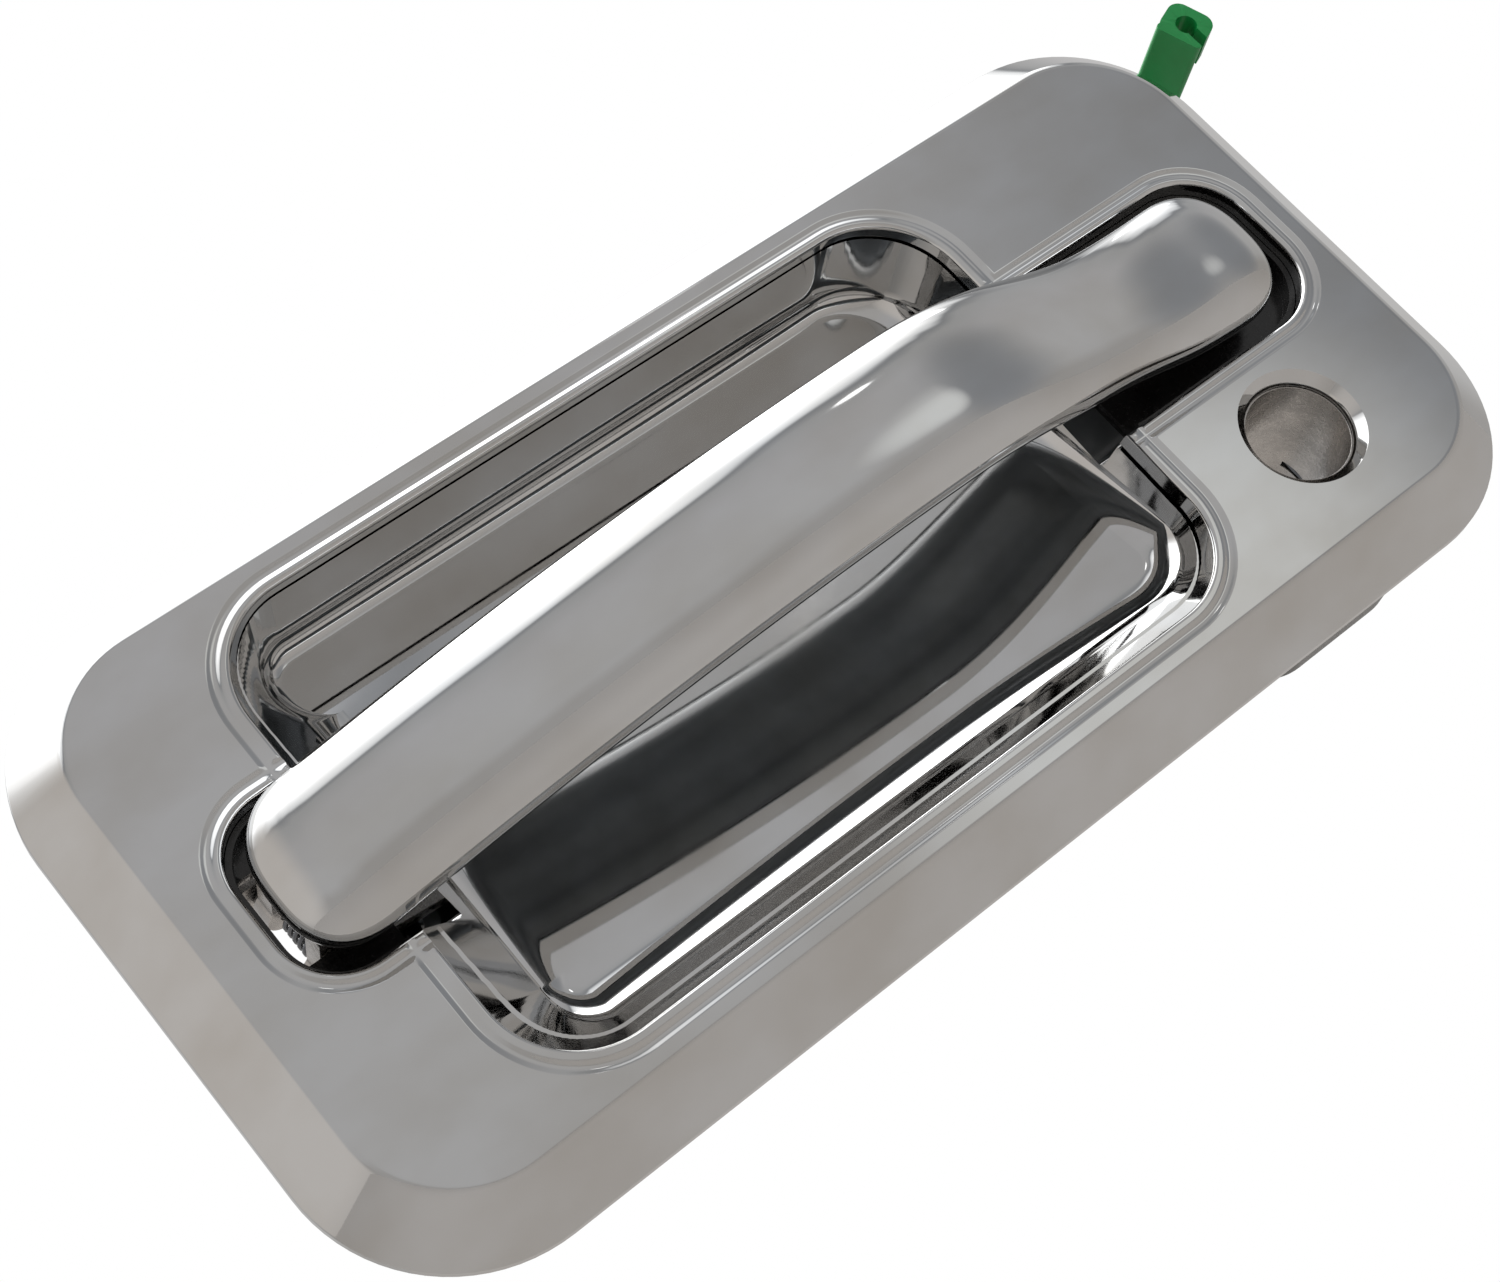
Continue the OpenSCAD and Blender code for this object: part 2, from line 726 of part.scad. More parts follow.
// Spring-steel fork that holds a lock cylinder in the sleeve
module lock_retainer() {
    color(steel) stand_up() slab(-13.8, -12.8) difference() {
        round_box(lock_x - 12.4, lock_x + 12.4, lock_y - 7, lock_y + 15.6, 4);
        round_box(lock_x - 9.9, lock_x + 9.9, lock_y - 9, lock_y + 12.8, 3);
        translate([lock_x - 20, lock_y - 12]) square([40, 6.6]);
    }
}

// ---- mounting -------------------------------------------------------------------------------

module mounting_studs() {
    color(steel) stand_up() for (x = [-stud_x, stud_x], y = [-stud_y, stud_y]) {
        rod_z(-stud_out, gasket_t - 0.3, x, y, stud_r);
        rod_z(0, 7, x, y, shank_r);
        translate([x, y, -stud_out - 1]) cylinder(h = 1, r1 = stud_r - 1, r2 = stud_r);
    }
}

bezel();
skin_gasket();
handle_shell();
handle_liner();
pivot_arm();
hook_arm();
arm_screws();
pivot_bracket();
pivot_pin();
pivot_bushes();
pivot_clips();
pivot_spring();
pivot_seal();
hook_seal();
end_bumpers();
rear_bracket();
bracket_screws();
crank();
crank_shoe();
crank_pin();
crank_clip();
crank_spring();
rod_clip();
lock_sleeve();
lock_seal();
lock_retainer();
mounting_studs();
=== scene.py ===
"""Looks for a car's exterior pull handle: a chrome-plated bezel, grip and rod clip over the fixed frame.

Lengths in the settings are metres. Builders work on the bench in millimetres, with x to the rear of
the car, y up the door and z out of the door from the skin, and row() turns that upright.
"""

import json
import math

import bmesh
import bpy
from mathutils import Matrix, Vector


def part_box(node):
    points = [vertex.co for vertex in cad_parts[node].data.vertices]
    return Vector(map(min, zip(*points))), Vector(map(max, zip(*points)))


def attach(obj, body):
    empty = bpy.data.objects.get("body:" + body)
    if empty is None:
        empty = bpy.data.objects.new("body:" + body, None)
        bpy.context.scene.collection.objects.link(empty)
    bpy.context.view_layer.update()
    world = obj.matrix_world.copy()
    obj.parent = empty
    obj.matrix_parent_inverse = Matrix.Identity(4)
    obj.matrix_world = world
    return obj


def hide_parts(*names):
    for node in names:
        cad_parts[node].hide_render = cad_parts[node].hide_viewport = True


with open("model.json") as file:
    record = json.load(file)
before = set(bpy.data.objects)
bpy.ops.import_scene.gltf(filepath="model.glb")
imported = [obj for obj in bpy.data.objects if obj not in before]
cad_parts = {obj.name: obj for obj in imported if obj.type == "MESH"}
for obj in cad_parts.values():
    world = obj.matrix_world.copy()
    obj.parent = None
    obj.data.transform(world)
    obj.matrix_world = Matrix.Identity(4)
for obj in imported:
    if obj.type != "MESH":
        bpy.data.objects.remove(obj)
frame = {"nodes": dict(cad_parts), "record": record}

bl_info = {
    "name": "Car Door Handle",
    "version": (1, 0, 0),
    "blender": (4, 5, 0),
    "location": "View3D > Sidebar > Door Handle",
    "description": "Builds the bright trim of a car door handle round its fixed frame",
    "category": "Add Mesh",
}

MM = 0.001
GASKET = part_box("skin_gasket")
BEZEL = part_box("bezel")
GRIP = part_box("handle_shell")
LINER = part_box("handle_liner")
FACE_Z = -1000 * BEZEL[0].y
BASE_L = 1000 * (BEZEL[1].x - BEZEL[0].x)
BASE_W = 1000 * (BEZEL[1].z - BEZEL[0].z)
# Height of the grip's middle line on the bench
GRIP_Y = 2.4


# ---- bench geometry --------------------------------------------------------------------------


def row(x, y, z):
    """A bench point in millimetres as a point of the upright frame in metres."""
    return Vector((x, -z, y)) * MM


def outline(x0, x1, y0, y1, r, arc=12, straight=8):
    """Points and outward normals round a rectangle with rounded corners, starting at its right side."""
    corners = [(x1 - r, y1 - r, 0), (x0 + r, y1 - r, 90), (x0 + r, y0 + r, 180), (x1 - r, y0 + r, 270)]
    points = []
    for k, (cx, cy, start) in enumerate(corners):
        for i in range(arc + 1):
            a = math.radians(start + 90 * i / arc)
            n = Vector((math.cos(a), math.sin(a)))
            points.append((Vector((cx, cy)) + n * r, n))
        nx, ny, nstart = corners[(k + 1) % 4]
        a = math.radians(nstart)
        n = Vector((math.cos(a), math.sin(a)))
        end = Vector((nx, ny)) + n * r
        begin = points[-1][0]
        for i in range(1, straight):
            points.append((begin.lerp(end, i / straight), n))
    return points


def inset_ring(points, inset, z):
    """The outline moved inwards by inset (a number, or one for each point) at height z (likewise)."""
    ring = []
    for i, (p, n) in enumerate(points):
        d = inset[i] if isinstance(inset, list) else inset
        h = z[i] if isinstance(z, list) else z
        ring.append(row(p.x - n.x * d, p.y - n.y * d, h))
    return ring


def skin(bm, rings, caps=True):
    """Lofts rings of the same number of points: one edge loop extruded from ring to ring."""
    verts = [bm.verts.new(p) for p in rings[0]]
    count = len(verts)
    pairs = range(count)
    edges = [bm.edges.new((verts[i], verts[(i + 1) % count])) for i in pairs]
    first = list(edges)
    for ring in rings[1:]:
        made = bmesh.ops.extrude_edge_only(bm, edges=edges)["geom"]
        fresh = {g for g in made if isinstance(g, bmesh.types.BMVert)}
        nxt = []
        for v in verts:
            nxt.append(next(e.other_vert(v) for e in v.link_edges if e.other_vert(v) in fresh))
        for v, p in zip(nxt, ring):
            v.co = p
        verts = nxt
        edges = [bm.edges.get((verts[i], verts[(i + 1) % count])) for i in pairs]
    if caps:
        bmesh.ops.contextual_create(bm, geom=first)
        bmesh.ops.contextual_create(bm, geom=edges)


def turned(bm, profile, centre, turns=64):
    """A closed solid turned round a line square to the door: profile is (radius, z) pairs."""
    angles = [math.tau * i / turns for i in range(turns)]
    rings = []
    for r, z in profile:
        rings.append([row(centre[0] + r * math.cos(a), centre[1] + r * math.sin(a), z) for a in angles])
    skin(bm, rings)


def finish_mesh(bm, name, sharp_deg=32.0):
    """Makes an object of the bmesh: faces outwards, smooth, with edges over sharp_deg kept crisp."""
    bmesh.ops.remove_doubles(bm, verts=bm.verts, dist=1e-7)
    bmesh.ops.recalc_face_normals(bm, faces=bm.faces)
    mark_edges(bm, sharp_deg)
    mesh = bpy.data.meshes.new(name)
    bm.to_mesh(mesh)
    bm.free()
    obj = bpy.data.objects.new(name, mesh)
    bpy.context.scene.collection.objects.link(obj)
    return obj


def mark_edges(bm, sharp_deg):
    """Smooth faces, with a crisp edge wherever two of them meet at more than sharp_deg."""
    limit = math.radians(sharp_deg)
    for f in bm.faces:
        f.smooth = True
    for e in bm.edges:
        e.smooth = len(e.link_faces) != 2 or e.calc_face_angle(0.0) < limit


def solid(name, build):
    """An object whose mesh build(bm) makes."""
    bm = bmesh.new()
    build(bm)
    return finish_mesh(bm, name)


def combine(obj, tool, operation):
    """Cuts tool from obj, or joins it, and removes tool."""
    mod = obj.modifiers.new("combine", "BOOLEAN")
    mod.operation = operation
    mod.solver = "EXACT"
    mod.object = tool
    graph = bpy.context.evaluated_depsgraph_get()
    mesh = bpy.data.meshes.new_from_object(obj.evaluated_get(graph))
    obj.modifiers.clear()
    old = obj.data
    obj.data = mesh
    mesh.name = obj.name
    bpy.data.meshes.remove(old)
    bpy.data.objects.remove(tool)
    return obj


def polish(obj, sharp_deg=32.0):
    """Keeps flat faces flat and rolled edges smooth, as mirror plating needs."""
    bm = bmesh.new()
    bm.from_mesh(obj.data)
    bmesh.ops.remove_doubles(bm, verts=bm.verts, dist=2e-6)
    bmesh.ops.dissolve_degenerate(bm, dist=1e-6, edges=bm.edges)
    mark_edges(bm, sharp_deg)
    bm.to_mesh(obj.data)
    bm.free()
    mod = obj.modifiers.new("weighted normals", "WEIGHTED_NORMAL")
    mod.keep_sharp = True
    mod.weight = 60
    return obj


def put_on(obj, body, slot, material, *nodes):
    """The piece rides on its body, stands for CAD nodes, and takes its finish."""
    obj.data.materials.clear()
    obj.data.materials.append(material)
    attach(obj, body)
    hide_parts(*nodes)


# ---- finishes --------------------------------------------------------------------------------


def linear(hex_colour):
    """An sRGB hex colour as linear RGBA."""
    out = []
    for i in (1, 3, 5):
        c = int(hex_colour[i:i + 2], 16) / 255
        out.append(c / 12.92 if c <= 0.04045 else ((c + 0.055) / 1.055) ** 2.4)
    return (*out, 1.0)


def add(tree, kind, inputs=None, **settings):
    """Adds a node, sets what is given, and links or fills its inputs."""
    node = tree.nodes.new(kind)
    for key, value in settings.items():
        setattr(node, key, value)
    for key, value in (inputs or {}).items():
        if isinstance(value, bpy.types.NodeSocket):
            tree.links.new(value, node.inputs[key])
        else:
            node.inputs[key].default_value = value
    return node


def fresh_material(name):
    """An empty node material and its tree."""
    mat = bpy.data.materials.new(name)
    mat.use_nodes = True
    mat.node_tree.nodes.clear()
    return mat, mat.node_tree


def noise(tree, coords, grain_mm, detail=4.0, rough=0.55, stretch=(1, 1, 1)):
    """Noise whose blobs are grain_mm across, in object space."""
    place = add(tree, "ShaderNodeMapping", {"Vector": coords, "Scale": stretch})
    return add(tree, "ShaderNodeTexNoise", {
        "Vector": place.outputs["Vector"],
        "Scale": 1 / (grain_mm * MM),
        "Detail": detail,
        "Roughness": rough,
    })


def between(tree, factor, low, high, a=0.35, b=0.65):
    """Maps factor from a..b to low..high."""
    return add(tree, "ShaderNodeMapRange", {
        "Value": factor, "From Min": a, "From Max": b, "To Min": low, "To Max": high,
    }).outputs["Result"]


def mix_colour(tree, factor, first, second):
    """Blends from first to second by factor; each is a hex colour or a socket."""
    node = add(tree, "ShaderNodeMix", None, data_type="RGBA")
    tree.links.new(factor, node.inputs[0])
    for socket, value in ((node.inputs[6], first), (node.inputs[7], second)):
        if isinstance(value, bpy.types.NodeSocket):
            tree.links.new(value, socket)
        else:
            socket.default_value = linear(value)
    return node.outputs[2]


def surface(tree, shader_inputs, height=None, depth_mm=0.0, strength=1.0):
    """Principled shader with an optional bump of the given real depth."""
    inputs = dict(shader_inputs)
    if height is not None:
        bump = add(tree, "ShaderNodeBump", {
            "Height": height, "Distance": depth_mm * MM, "Strength": strength,
        })
        inputs["Normal"] = bump.outputs["Normal"]
    shader = add(tree, "ShaderNodeBsdfPrincipled", inputs)
    add(tree, "ShaderNodeOutputMaterial", {"Surface": shader.outputs["BSDF"]})


def chrome_plate(look):
    """Bright chrome plate over plastic: a cool mirror, with faint hand marks and moulding waves."""
    mat, tree = fresh_material("bright_chrome_plate")
    coords = add(tree, "ShaderNodeTexCoord").outputs["Object"]
    marks = noise(tree, coords, 26, 3.0, 0.5, (1, 1, 1.6)).outputs["Fac"]
    fine = noise(tree, coords, 1.6, 3.0, 0.6).outputs["Fac"]
    haze = between(tree, marks, look.chrome_rough, look.chrome_rough + 0.05, 0.5, 0.72)
    grit = between(tree, fine, 0.0, 0.012)
    rough = add(tree, "ShaderNodeMath", {0: haze, 1: grit}, operation="ADD").outputs["Value"]
    waves = noise(tree, coords, 34, 1.0, 0.4).outputs["Fac"]
    handled = between(tree, marks, 0.0, 1.0, 0.35, 0.7)
    colour = mix_colour(tree, handled, look.chrome_hex, look.chrome_haze_hex)
    surface(tree, {"Base Color": colour, "Metallic": 1.0, "Roughness": rough}, waves, 0.06, 0.35)
    return mat


def moulded(name, first, second, rough, grain_mm, depth_mm):
    """Moulded plastic or rubber: two close shades, a spark-eroded grain and its gloss."""
    mat, tree = fresh_material(name)
    coords = add(tree, "ShaderNodeTexCoord").outputs["Object"]
    broad = noise(tree, coords, 18, 3.0).outputs["Fac"]
    grain = noise(tree, coords, grain_mm, 5.0, 0.65).outputs["Fac"]
    colour = mix_colour(tree, between(tree, broad, 0.0, 1.0), first, second)
    gloss = between(tree, grain, rough[0], rough[1])
    surface(tree, {"Base Color": colour, "Roughness": gloss}, grain, depth_mm)
    return mat


def metal(name, first, second, rough, grain_mm, depth_mm):
    """Bare or plated metal: a mottled tint, its grain, and roughness that follows the grain."""
    mat, tree = fresh_material(name)
    coords = add(tree, "ShaderNodeTexCoord").outputs["Object"]
    broad = noise(tree, coords, 7, 4.0).outputs["Fac"]
    grain = noise(tree, coords, grain_mm, 6.0, 0.6).outputs["Fac"]
    colour = mix_colour(tree, between(tree, broad, 0.0, 1.0), first, second)
    surface(tree, {
        "Base Color": colour, "Metallic": 1.0, "Roughness": between(tree, grain, rough[0], rough[1]),
    }, grain, depth_mm)
    return mat


def foam_cells(look):
    """Closed-cell foam: dull, with cells about half a millimetre across that show at the cut edge."""
    mat, tree = fresh_material("closed_cell_foam")
    coords = add(tree, "ShaderNodeTexCoord").outputs["Object"]
    cell = add(tree, "ShaderNodeTexVoronoi", {"Vector": coords, "Scale": 1 / (0.6 * MM)})
    cells = cell.outputs["Distance"]
    colour = mix_colour(tree, between(tree, cells, 0.0, 1.0, 0.1, 0.6), "#0f0f10", "#2a2a2b")
    rough = between(tree, cells, 0.85, 1.0, 0.1, 0.6)
    surface(tree, {"Base Color": colour, "Roughness": rough}, cells, 0.25)
    return mat


FINISHES = {}


def finish_of(slot):
    """The material for one of the record's slots, made once."""
    if slot not in FINISHES:
        look = bpy.context.scene.door_handle_finish
        makers = {
            "chrome_plate": lambda: chrome_plate(look),
            # Glass-filled nylon from a polished mould: near black, glossy, with a faint even grain
            "black_plastic": lambda: moulded(
                "glass_filled_nylon", "#232424", "#181919", (0.2, 0.32), 0.5, 0.015),
            # Moulded rubber: deep black with a wet-looking skin
            "black_rubber": lambda: moulded(
                "moulded_rubber", "#0c0b0b", "#151414", (0.14, 0.28), 0.7, 0.01),
            # Acetal in its natural colour: waxy off-white
            "natural_acetal": lambda: moulded(
                "natural_acetal", "#ddd8ca", "#d2ccbc", (0.3, 0.4), 0.8, 0.01),
            # Green acetal: saturated, waxy, slightly soft highlights
            "green_acetal": lambda: moulded(
                "green_acetal", look.clip_hex, "#10803c", (0.3, 0.42), 0.9, 0.015),
            # Pressure die-cast zinc alloy: grey, with flow marks and a fine pitted skin
            "cast_zinc": lambda: metal(
                "die_cast_zinc", "#bcb8b4", "#a6a3a0", (0.22, 0.36), 0.8, 0.03),
            # Zinc-plated steel with clear passivation: pale, a little blue and straw
            "plated_steel": lambda: metal(
                "zinc_plated_steel", "#bcbfc4", "#b9b29e", (0.22, 0.38), 0.35, 0.008),
            # Drawn spring wire and strip: darker steel with a tight fine grain
            "spring_steel": lambda: metal(
                "drawn_spring_steel", "#77797d", "#5d5f63", (0.25, 0.4), 0.3, 0.01),
            "foam": lambda: foam_cells(look),
        }
        FINISHES[slot] = makers[slot]()
    return FINISHES[slot]


# ---- bezel -----------------------------------------------------------------------------------


def bezel_rings(offset, low):
    """Rings of the bezel's outside (offset 0) or of its hollow (offset = wall), from its foot up."""
    s = bpy.context.scene.door_handle_bezel
    foot = 1000 * -GASKET[0].y
    lip, flank, edge, shoulder = s.lip_h / MM, s.flank / MM, s.edge_r / MM, s.shoulder_r / MM
    shift = offset * (math.sqrt(2) - 1)
    points = outline(-BASE_L / 2, BASE_L / 2, -BASE_W / 2, BASE_W / 2, s.corner_r / MM, 20, 14)
    profile = [(offset, foot + low)]
    lip_top = foot + lip - shift
    reach = shoulder * math.tan(math.radians(22.5))
    profile += [
        (offset + shoulder * (1 - math.cos(math.radians(a))),
         lip_top - reach + shoulder * math.sin(math.radians(a)))
        for a in (0, 15, 30, 45)
    ]
    top = FACE_Z - offset
    edge_x = flank + shift
    reach = edge * math.tan(math.radians(22.5))
    profile += [
        (edge_x + reach - edge * math.sin(math.radians(a)),
         top - edge * (1 - math.cos(math.radians(a))))
        for a in (45, 37.5, 30, 22.5, 15, 7.5, 0)
    ]
    return [inset_ring(points, d, z) for d, z in profile]


# How far in each wall's foot stands, and the round at its foot, by the angle of the wall's normal
WALLS = {0: 5.0, 90: 0.6, 180: 13.0, 270: 8.6}
COVES = {0: 7.0, 90: 3.5, 180: 9.0, 270: 14.0}
# The floor reaches its lower depth at this height, and its upper depth after this run
FLOOR_LOW_Y = -35
FLOOR_RUN = 79.5
# Each opening's crest lies a different small distance under the face, so that their edges don't coincide
CREST = 0.03


def blend(table, n):
    """The table's value for the outward normal n, eased from wall to wall round the corners."""
    a = math.degrees(math.atan2(n.y, n.x)) % 360
    k = int(a // 90) * 90
    t = (a - k) / 90
    t = t * t * (3 - 2 * t)
    return table[k % 360] * (1 - t) + table[(k + 90) % 360] * t


def swale(roll, top, steps=7):
    """The shallow dip in the face round an opening, up to its crest, which is top under the face."""
    far, deepest, crest = -roll - 3.0, -roll - 1.3, -roll
    points = [(far, -4.0)]
    for i in range(steps + 1):
        t = i / steps
        points.append((far + (deepest - far) * t, -0.02 + 0.36 * (1 - math.cos(math.pi * t)) / 2))
    for i in range(1, steps + 1):
        t = i / steps
        low = points[steps + 1][1]
        rise = (top - low) * (1 - math.cos(math.pi * t)) / 2
        points.append((deepest + (crest - deepest) * t, low + rise))
    return points


def recess_rings(grow):
    """Rings of the finger recess, from above the face down to the flat of the floor."""
    s = bpy.context.scene.door_handle_bezel
    x0, x1, hw, r = s.recess_x0 / MM, s.recess_x1 / MM, s.recess_hw / MM, s.recess_r / MM
    points = outline(x0 - grow, x1 + grow, -hw - grow, hw + grow, r + grow, 20, 16)
    roll = s.rim_r / MM
    fall_up = (s.depth_top - s.depth_low) / (FLOOR_RUN * MM)
    columns = []
    for p, n in points:
        foot = blend(WALLS, n)
        depth = s.depth_low / MM + fall_up * (p.y - n.y * foot - FLOOR_LOW_Y) + grow
        lean = math.degrees(math.atan2(foot, depth))
        reach = roll * math.tan(math.radians((90 - lean) / 2))
        column = []
        if grow == 0:
            column += swale(roll, CREST)
            for i in range(10):
                a = math.radians((90 - lean) * i / 9)
                column.append((-reach + roll * math.sin(a), CREST + roll * (1 - math.cos(a))))
        else:
            column.append((0.0, 3.4))
        # the cove between wall and floor, tangent to both
        cove = blend(COVES, n)
        a0 = math.radians(90 - lean)
        turn = a0 - math.atan(-fall_up * n.y)
        fall = Vector((math.cos(a0), math.sin(a0)))
        begin = Vector((foot, depth)) - fall * cove * math.tan(turn / 2)
        centre = begin + Vector((fall.y, -fall.x)) * cove
        for i in range(15):
            a = a0 - turn * i / 14
            q = centre + Vector((-math.sin(a), math.cos(a))) * cove
            column.append((q.x, q.y))
        columns.append(column)
    rings = []
    for k in range(len(columns[0])):
        rings.append(inset_ring(points, [c[k][0] for c in columns], [FACE_Z - c[k][1] for c in columns]))
    return rings


def pocket_rings(box, r, roll, depth, top):
    """Rings of a handle pocket, with its rolled edge, straight wall and floor."""
    points = outline(*box, r, 16, 6)
    profile = swale(roll, top)
    for i in range(9):
        a = math.radians(90 * i / 8)
        profile.append((-roll + roll * math.sin(a), top + roll * (1 - math.cos(a))))
    cove = 1.2
    for i in range(5):
        a = math.radians(90 * i / 4)
        profile.append((cove * (1 - math.cos(a)), depth - cove + cove * math.sin(a)))
    return [inset_ring(points, d, FACE_Z - z) for d, z in profile]


def pillar(x, y, z0, z1, r):
    """A round post from z0 to z1."""
    return solid("pillar", lambda bm: turned(bm, [(r, z0), (r, z1)], (x, y), 40))


def block(x0, x1, y0, y1, z0, z1, r):
    """A block from z0 to z1 with corners of radius r."""
    points = outline(x0, x1, y0, y1, r, 6, 2)
    return solid("block", lambda bm: skin(bm, [inset_ring(points, 0, z0), inset_ring(points, 0, z1)]))


FRONT_POCKET = (-110.4, -70, -14.3, 18.8)
REAR_POCKET = (44, 113.8, -15.1, 20.3)
# The moulding behind each pocket as (box, corner radius), and the slots that the grip's arms pass through
POCKET_BACKS = [((-112.4, -82, -16.3, 20.8), 13.3), ((54, 115.8, -17.1, 22.3), 14.6)]
ARM_SLOTS = [(-109.5, -93, 9.4), (81, 99, 8)]
LOCK = (88.2, -32.8)
SCREWS = [(-103, 30), (-103, -25.5), (73, 47), (94, 47), (75, -49.5), (104.5, -50)]
STUDS = [(x, y) for x in (-118, 118) for y in (-32, 32)]
SCREW_FOOT_Z = -2.2
SCREW_BOSS_R = 4
SCREW_HOLE_R = 1.5
STUD_FOOT_Z = 1.2
STUD_BOSS_Z = 9
STUD_BOSS_R = 5
STUD_HOLE_R = 2.6
STUD_HOLE_Z = 7


class DOORHANDLE_OT_bezel(bpy.types.Operator):
    """Builds the plated bezel: a hollow moulding with its recess, pockets and lock opening"""

    bl_idname = "doorhandle.bezel"
    bl_label = "Build Bezel"

    def execute(self, context):
        s = context.scene.door_handle_bezel
        wall = s.wall / MM
        body = solid("bezel_moulding", lambda bm: skin(bm, bezel_rings(0.0, 0.0)))
        combine(body, solid("hollow", lambda bm: skin(bm, bezel_rings(wall, -1.0))), "DIFFERENCE")
        combine(body, solid("recess_back", lambda bm: skin(bm, recess_rings(wall))), "UNION")
        depth = s.pocket_depth / MM
        for box, r in POCKET_BACKS:
            combine(body, block(*box, FACE_Z - depth - 2, FACE_Z - 1, r), "UNION")
        for x, y in SCREWS:
            combine(body, pillar(x, y, SCREW_FOOT_Z, FACE_Z - 1.5, SCREW_BOSS_R), "UNION")
        for x, y in STUDS:
            combine(body, pillar(x, y, STUD_FOOT_Z, STUD_BOSS_Z, STUD_BOSS_R), "UNION")
        roll = s.pocket_rim_r / MM
        for box, r, top in ((FRONT_POCKET, 11.3, 2 * CREST), (REAR_POCKET, 12.6, 3 * CREST)):
            cut = solid("pocket", lambda bm: skin(bm, pocket_rings(box, r, roll, depth, top)))
            combine(body, cut, "DIFFERENCE")
        combine(body, solid("recess", lambda bm: skin(bm, recess_rings(0.0))), "DIFFERENCE")
        for x0, x1, half in ARM_SLOTS:
            combine(body, block(x0, x1, GRIP_Y - half, GRIP_Y + half, -3, FACE_Z - 6, 2), "DIFFERENCE")
        chamfer = [(10, -5), (10, FACE_Z - 2.4), (10.15, FACE_Z - 1.9), (10.5, FACE_Z - 1.45),
                   (11.9, FACE_Z - 0.05), (12.4, FACE_Z + 0.4), (12.4, FACE_Z + 2)]
        combine(body, solid("lock hole", lambda bm: turned(bm, chamfer, LOCK, 96)), "DIFFERENCE")
        for x, y in SCREWS:
            combine(body, pillar(x, y, -3, 6, SCREW_HOLE_R), "DIFFERENCE")
        for x, y in STUDS:
            combine(body, pillar(x, y, 0, STUD_HOLE_Z, STUD_HOLE_R), "DIFFERENCE")
        polish(body)
        put_on(body, "bezel_frame", "chrome_plate", finish_of("chrome_plate"), "bezel")
        return {"FINISHED"}


class DOORHANDLE_OT_gasket(bpy.types.Operator):
    """Builds the foam gasket under the bezel's lip"""

    bl_idname = "doorhandle.gasket"
    bl_label = "Build Gasket"

    def execute(self, context):
        s = context.scene.door_handle_bezel
        t = 1000 * (GASKET[1].y - GASKET[0].y)
        points = outline(-BASE_L / 2 + 0.4, BASE_L / 2 - 0.4, -BASE_W / 2 + 0.4, BASE_W / 2 - 0.4,
                         s.corner_r / MM - 0.4, 16, 10)
        section = [(0.15, 0.0), (0.03, 0.2), (0.0, t / 2), (0.03, t - 0.2), (0.15, t),
                   (3.45, t), (3.57, t - 0.2), (3.6, t / 2), (3.57, 0.2), (3.45, 0.0)]

        def build(bm):
            skin(bm, [inset_ring(points, d, z) for d, z in section + section[:1]], caps=False)

        ring = solid("skin_gasket_foam", build)
        put_on(ring, "bezel_frame", "foam", finish_of("foam"), "skin_gasket")
        return {"FINISHED"}


# ---- grip ------------------------------------------------------------------------------------


def bow_line(x, s):
    """Height of the grip's middle line above the face."""
    bow = s.bow / MM
    peak = 23.0
    front_fall, front_run = 16, 116
    rear_height, rear_run = 2, 69
    if x < peak:
        return bow - front_fall * ((peak - x) / front_run) ** 2
    share = (1 + math.cos(math.pi * min(1, (x - peak) / rear_run))) / 2
    return rear_height + (bow - rear_height) * share


def tip_share(x, x0, x1, length):
    """1 along the grip, falling to 0 over the last few millimetres at each rounded end."""
    d = max(0.0, length - min(x - x0, x1 - x)) / length
    return max(0.0001, 1 - d ** 2.5) ** 0.4


def half_width(x, s):
    """Half height of the grip at x: a little slimmer at the neck behind the bow."""
    neck = 1.3 * math.exp(-((x - 68) / 17) ** 2)
    taper = 0.3 * max(0.0, min(1.0, (x - 80) / 20))
    return s.half_width / MM - neck - taper


def crowd(x0, x1, count):
    """Stations along the grip, close together at both ends."""
    return [x0 + (x1 - x0) * (t - 0.78 * math.sin(math.tau * t) / math.tau)
            for t in (i / count for i in range(count + 1))]


def round_point(w, h, a, n):
    """Point at angle a of an oval w by h, squarer as n grows past 2."""
    c, s = math.cos(a), math.sin(a)
    return w * math.copysign(abs(c) ** (2 / n), c), h * math.copysign(abs(s) ** (2 / n), s)


# The hem of the outer half as (share of the half width, share of the drop)
HEM = [(0.995, 0.35), (0.985, 0.75), (0.965, 1.0), (0.9, 1.04)]


def cover_ring(x, w, h, drop, s, steps=44):
    """Section of the outer half at x: a crowned top and short straight sides down to drop."""
    z = FACE_Z + bow_line(x, s)
    ring = []
    for i in range(steps + 1):
        py, pz = round_point(w, h, math.pi * i / steps, 2.5)
        ring.append(row(x, GRIP_Y + py, z + pz))
    for side, hem in ((-1, HEM), (1, HEM[::-1])):
        for share, fall in hem:
            ring.append(row(x, GRIP_Y + side * share * w, z - drop * fall))
    return ring


